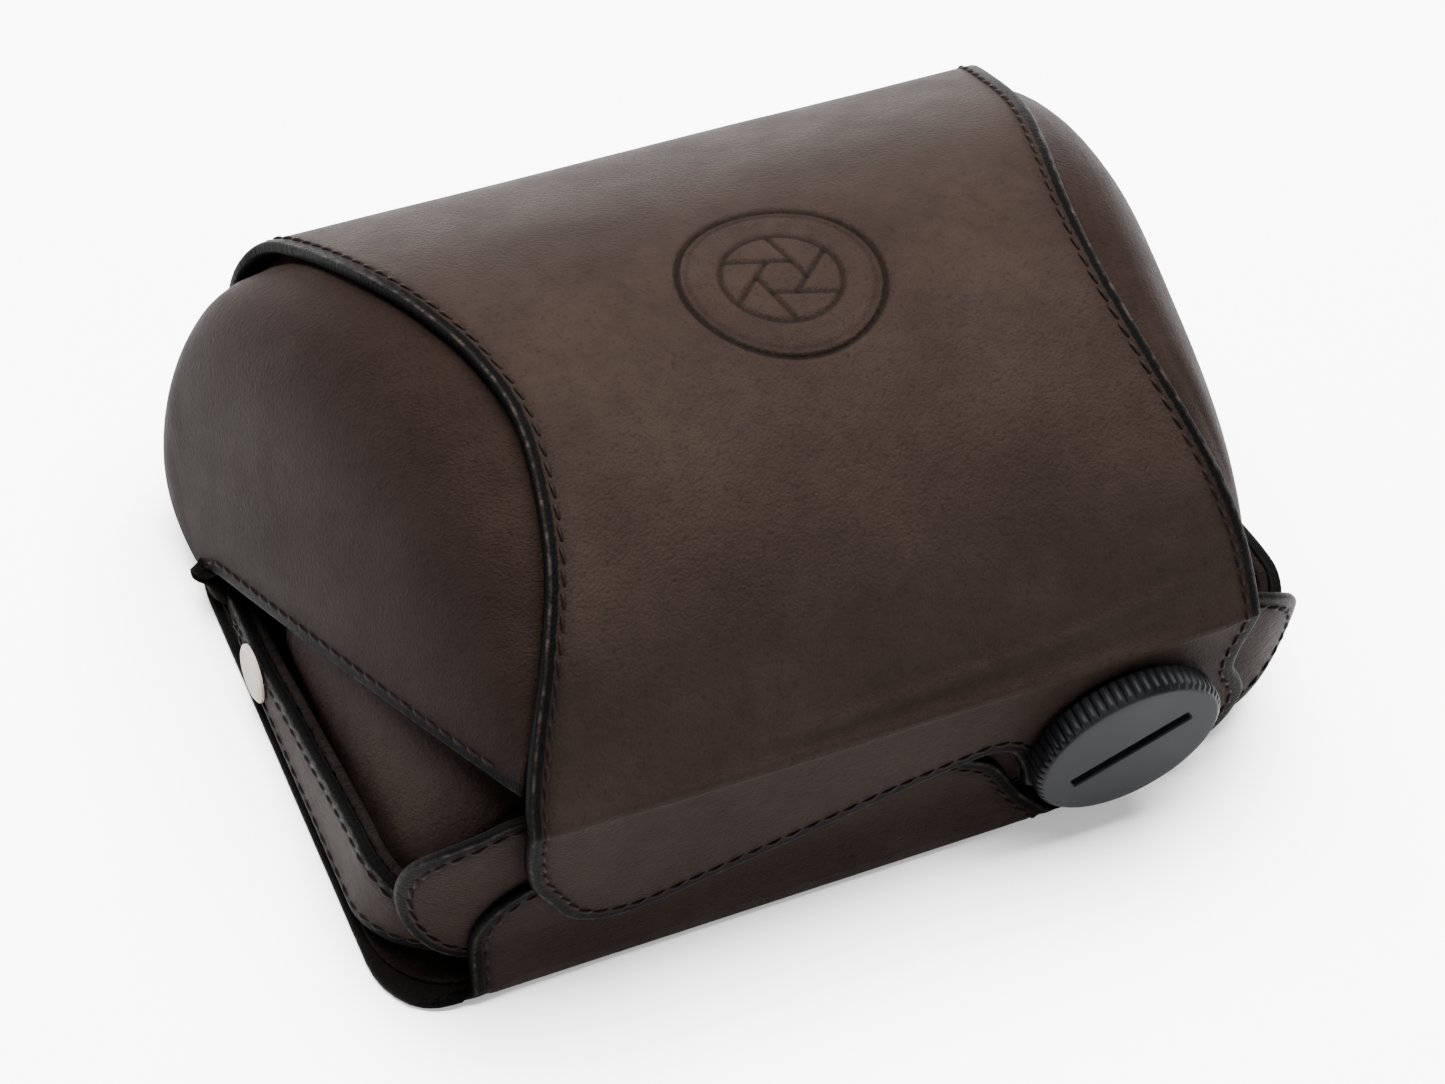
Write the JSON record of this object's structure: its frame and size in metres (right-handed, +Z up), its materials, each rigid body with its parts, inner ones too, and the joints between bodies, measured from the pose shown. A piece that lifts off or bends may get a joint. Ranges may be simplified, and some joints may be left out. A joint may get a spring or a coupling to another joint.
{
  "type": "camera ever-ready case",
  "caption": "Leather camera case with a hinged domed nose cover, a fitted half case and a knurled tripod screw, lying on its back, closed.",
  "frame": {"origin": "centre of the footprint, on the table the case lies on", "axes": "+X along the camera's width, -Y the camera's bottom with the tripod screw, +Z up to the nose"},
  "size_m": [0.1526, 0.1102, 0.075],
  "materials": {
    "leather": "smooth dark brown leather, satin, edges painted black",
    "suede": "napped suede lining",
    "board": "fibre board",
    "black_metal": "black paint, satin face and glossy knurl",
    "steel": "turned steel",
    "nickel": "dull nickel plate"
  },
  "bodies": {
    "half_case": {"back_panel": "leather", "back_panel_lining": "suede", "bottom_lining": "suede", "bottom_stiffener": "board", "end_lining_left": "suede", "end_lining_right": "suede", "end_rivet_left": "nickel", "end_rivet_right": "nickel", "front_bottom_flap": "leather", "front_lining": "suede", "half_case_bottom": "leather", "half_case_end_left": "leather", "half_case_end_right": "leather", "half_case_front": "leather", "rear_bottom_flap": "leather", "screw_eyelet": "black_metal", "snap_socket_left": "nickel", "snap_socket_right": "nickel"},
    "nose_cover": {"nose_front": "leather", "nose_gusset_left": "leather", "nose_gusset_right": "leather", "nose_lining": "suede", "gusset_lining_left": "suede", "gusset_lining_right": "suede", "snap_stud_left": "nickel", "snap_stud_right": "nickel"},
    "screw_slider": {"screw_washer": "black_metal"},
    "tripod_screw": {"screw_knob": "black_metal", "screw_stud": "steel", "screw_retaining_ring": "black_metal"}
  },
  "joints": [
    {"name": "cover_fold", "type": "hinge", "parent": "half_case", "child": "nose_cover", "pos_m": [0, -0.05, 0.039], "axis": [1, 0, 0], "range_deg": [0, 110]},
    {"name": "screw_float", "type": "slide", "parent": "half_case", "child": "screw_slider", "axis": [0, -1, 0], "range_m": [0, 0.0024]},
    {"name": "screw_turn", "type": "hinge", "parent": "screw_slider", "child": "tripod_screw", "pos_m": [0.037, -0.055, 0.022], "axis": [0, -1, 0], "continuous": true}
  ]
}
